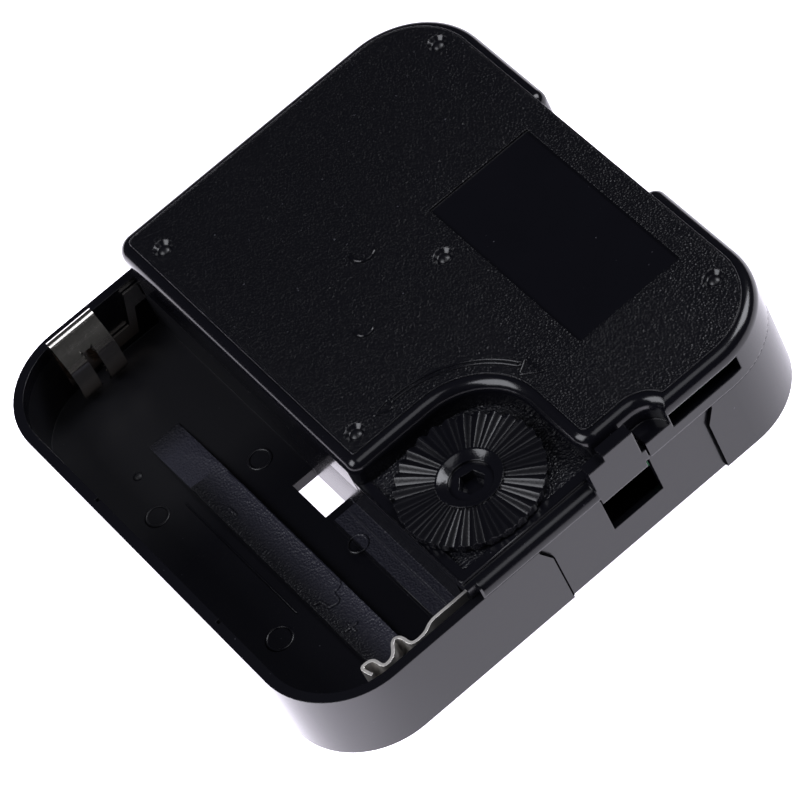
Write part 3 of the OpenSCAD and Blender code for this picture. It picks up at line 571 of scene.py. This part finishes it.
def contact_fingers():
    """Negative contact with fingers that bow out towards the cell, cut finer along their height."""
    name = "contact_negative"
    first_cut, cut_step, cuts = 2.3, 0.27, 24
    wall_side = low(name)[0] + 0.75 * MM
    finger_end = -14.0 * MM
    slit, slit_reach, slit_wider = -17.9 * MM, 0.25 * MM, 2.8
    bm = bmesh.new()
    bm.from_mesh(frame["nodes"][name].data)
    for k in range(cuts):
        whole = bm.verts[:] + bm.edges[:] + bm.faces[:]
        level = Vector((0, 0, (first_cut + cut_step * k) * MM))
        bmesh.ops.bisect_plane(bm, geom=whole, plane_co=level, plane_no=(0, 0, 1))
    for v in bm.verts:
        if v.co.x > wall_side and v.co.y < finger_end:
            v.co.x += spring_bulge(v.co.z / MM) * MM
            if abs(v.co.y - slit) < slit_reach:
                v.co.y = slit + (v.co.y - slit) * slit_wider
    piece = add_piece("contact_negative_spring", bm, "contact_nickel")
    piece.data.set_sharp_from_angle(angle=SHARP_ANGLE)
    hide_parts(name)


def thread_depth(turn, z):
    """How far the thread lies below its crests, fading out towards the shoulder and the end."""
    phase = (z / THREAD_PITCH_MM - turn / math.tau) % 1.0
    end_fade, shoulder_fade = 0.4, 0.5
    fade = min(1.0, max(0.0, (z + BUSH_LENGTH_MM) / end_fade), max(0.0, -z / shoulder_fade))
    return THREAD_DEPTH_MM * fade * (1.0 - abs(2.0 * phase - 1.0))


def thread(levels=94, count=120):
    """Brass bush with its thread cut round it."""
    bore, neck, flange = 2.55, 3.5, 5.0
    flange_low, flange_top = FLOOR_TOP / MM - 0.6, FLOOR_TOP / MM + 0.05
    length = BUSH_LENGTH_MM
    samples = [-length + length * k / levels for k in range(levels + 1)]
    rings = []
    for j in range(count):
        turn = math.tau * j / count
        profile = [(THREAD_R_MM - thread_depth(turn, z), z) for z in samples]
        profile += [(neck, 0.0), (neck, flange_low), (flange, flange_low), (flange, flange_top),
            (bore, flange_top), (bore, -length)]
        rings.append([Vector((r * math.cos(turn), r * math.sin(turn), z)) * MM for r, z in profile])
    bm = bmesh.new()
    skin(bm, rings, True)
    bush = add_piece("threaded_bush_turns", bm, "bush_brass")
    bush.data.set_sharp_from_angle(angle=SHARP_ANGLE)
    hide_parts("threaded_bush")


def crease():
    """Rounded step between the border of the cover and its grained top."""
    front_left, front_right = (-26.15, -8.3), (9.7, -8.65)
    knob_curve, shelf_corner, latch_curve = (17.6, -1.15), (23.8, 7.25), (28.0, 10.6)
    rear_right, rear_left = (19.5, 19.5), (-19.5, 19.5)
    path = arc_points(front_left, 0.55, 180, 270, 5)
    path += arc_points(front_right, 0.2, 270, 360, 4)
    path += arc_points(knob_curve, 7.7, 180, 90, 24)
    path += arc_points(shelf_corner, 0.7, 270, 360, 6)
    path += arc_points(latch_curve, 3.5, 180, 112, 12)
    path += arc_points(rear_right, 7.2, 0, 90, 24)
    path += arc_points(rear_left, 7.2, 90, 180, 24)
    below_top = COVER_TOP / MM - 0.06
    bead("cover_crease", at_height(path, below_top), *EDGE_BEAD_MM, "cover_black", closed=True)


def edge_lines():
    """Rounded edges that catch the light: the lip of the tray and the two ledges of the bay."""
    sunk = 0.02
    lip, floor = TRAY_TOP / MM + 0.3, FLOOR_TOP / MM
    corner = arc_points((26.0, -9.65), 0.4, 270, 360, 5)
    path = [(10.6, -10.05), *corner, (26.4, 4.1)]
    bead("tray_lip_edge", at_height(path, lip - sunk), *EDGE_BEAD_MM, "plate_black")
    ledge_end = 24.9
    for k, (x, y, z) in enumerate([(5.7, -12.47, floor + 1.0), (6.5, -10.97, floor + 1.9)]):
        line = [(x, y, z - sunk), (ledge_end, y, z - sunk)]
        bead(f"bay_ledge_edge_{k + 1}", line, 0.24, 0.09, "case_black")


def panel_gap(name, path):
    """Painted shadow in the joint along the edge of the side panel: a thin dark strip, from (Y, Z) points, in
    the outer wall.
    """
    inside, outside, half_width = 27.66, 28.0, 0.08
    bm = bmesh.new()
    rings = []
    points = [Vector(p) for p in path]
    for i, p in enumerate(points):
        along = (points[min(i + 1, len(points) - 1)] - points[max(i - 1, 0)]).normalized()
        across = Vector((-along.y, along.x)) * half_width
        a, b = p - across, p + across
        spots = [(inside, a), (outside, a), (outside, b), (inside, b)]
        rings.append([Vector((x, q.x, q.y)) * MM for x, q in spots])
    skin(bm, rings, False)
    add_piece(name, bm, "case_black", JOINT_SHADOW)


cover_relief()
crease()
bay_relief()
edge_lines()
# Painted shadow in the two joints of the side panel
panel_gap("panel_gap_near", [(-2.15, 0.3), (-2.15, 6.4), (-2.3, 6.7), (-3.1, 8.2)])
panel_gap("panel_gap_far", [(15.85, 0.3), (15.85, 6.4), (16.0, 6.7), (16.8, 8.2)])
contact_fingers()
thread()


# Floor, light and camera

SOFTBOX_COLOUR = (0.93, 0.94, 1.0)
WORLD_COLOUR = rgb(0.95, 0.97, 1.0)
WORLD_STRENGTH = 0.03


def pale_paper(name):
    """Paper that glows by itself, a painted light: its glow, tinted a little purple, is stronger in front of
    the bay wall, which mirrors it.
    """
    s = Shader(name)
    tone = s.noise(12.0, 2.0)
    s.set(base_color=s.mix(tone, rgb(0.74, 0.74, 0.75), rgb(0.77, 0.77, 0.78)), roughness=0.9)
    # Painted glow: stronger towards the bay wall, so that the wall mirrors more light
    glow = s.remap(s.axes()["Y"], -32.0 * MM, -14.0 * MM, 3.2, 1.6)
    s.set(emission_color=rgb(0.98, 0.93, 1.06), emission_strength=glow)
    return s.material


def pale_floor(size=4.0, clearance=0.02 * MM):
    bpy.ops.mesh.primitive_plane_add(size=size, location=(0, 0, cad_box[0][2] - clearance))
    floor = bpy.context.object
    floor.name = "floor"
    floor.data.materials.append(pale_paper("pale paper"))


def softbox(name, direction, distance, size, radiance):
    """A square panel that faces the middle of the object; its power follows from its radiance and area."""
    light = bpy.data.lights.new(name, "AREA")
    light.shape = "SQUARE"
    light.size = size
    light.energy = radiance * math.pi * size * size
    light.color = SOFTBOX_COLOUR
    lamp = bpy.data.objects.new(name, light)
    bpy.context.scene.collection.objects.link(lamp)
    lamp.location = Vector(direction).normalized() * distance
    lamp.rotation_euler = (-lamp.location).to_track_quat("-Z", "Y").to_euler()


def studio():
    world = bpy.data.worlds.new("studio")
    world.use_nodes = True
    background = world.node_tree.nodes["Background"].inputs
    background["Color"].default_value = WORLD_COLOUR
    background["Strength"].default_value = WORLD_STRENGTH
    bpy.context.scene.world = world
    softbox("softbox on the bay side", (-0.03, -0.70, 0.72), 0.7, 0.46, 9.0)
    softbox("softbox on the hanger side", (0.09, 0.66, 0.75), 0.7, 0.34, 13.0)
    softbox("panel overhead", (0.38, 0.16, 0.91), 0.9, 0.42, 2.5)


def photo_camera():
    data = bpy.data.cameras.new("photo camera")
    data.sensor_width = SENSOR_MM
    data.lens = LENS_MM
    camera = bpy.data.objects.new("photo camera", data)
    bpy.context.scene.collection.objects.link(camera)
    right, down = Vector(CAMERA_RIGHT), Vector(CAMERA_DOWN)
    turn = Matrix((right, -down, -right.cross(down))).transposed().to_4x4()
    camera.matrix_world = Matrix.Translation(CAMERA_AT) @ turn
    bpy.context.scene.camera = camera


pale_floor()
studio()
photo_camera()
bpy.context.scene.view_settings.view_transform = "Standard"
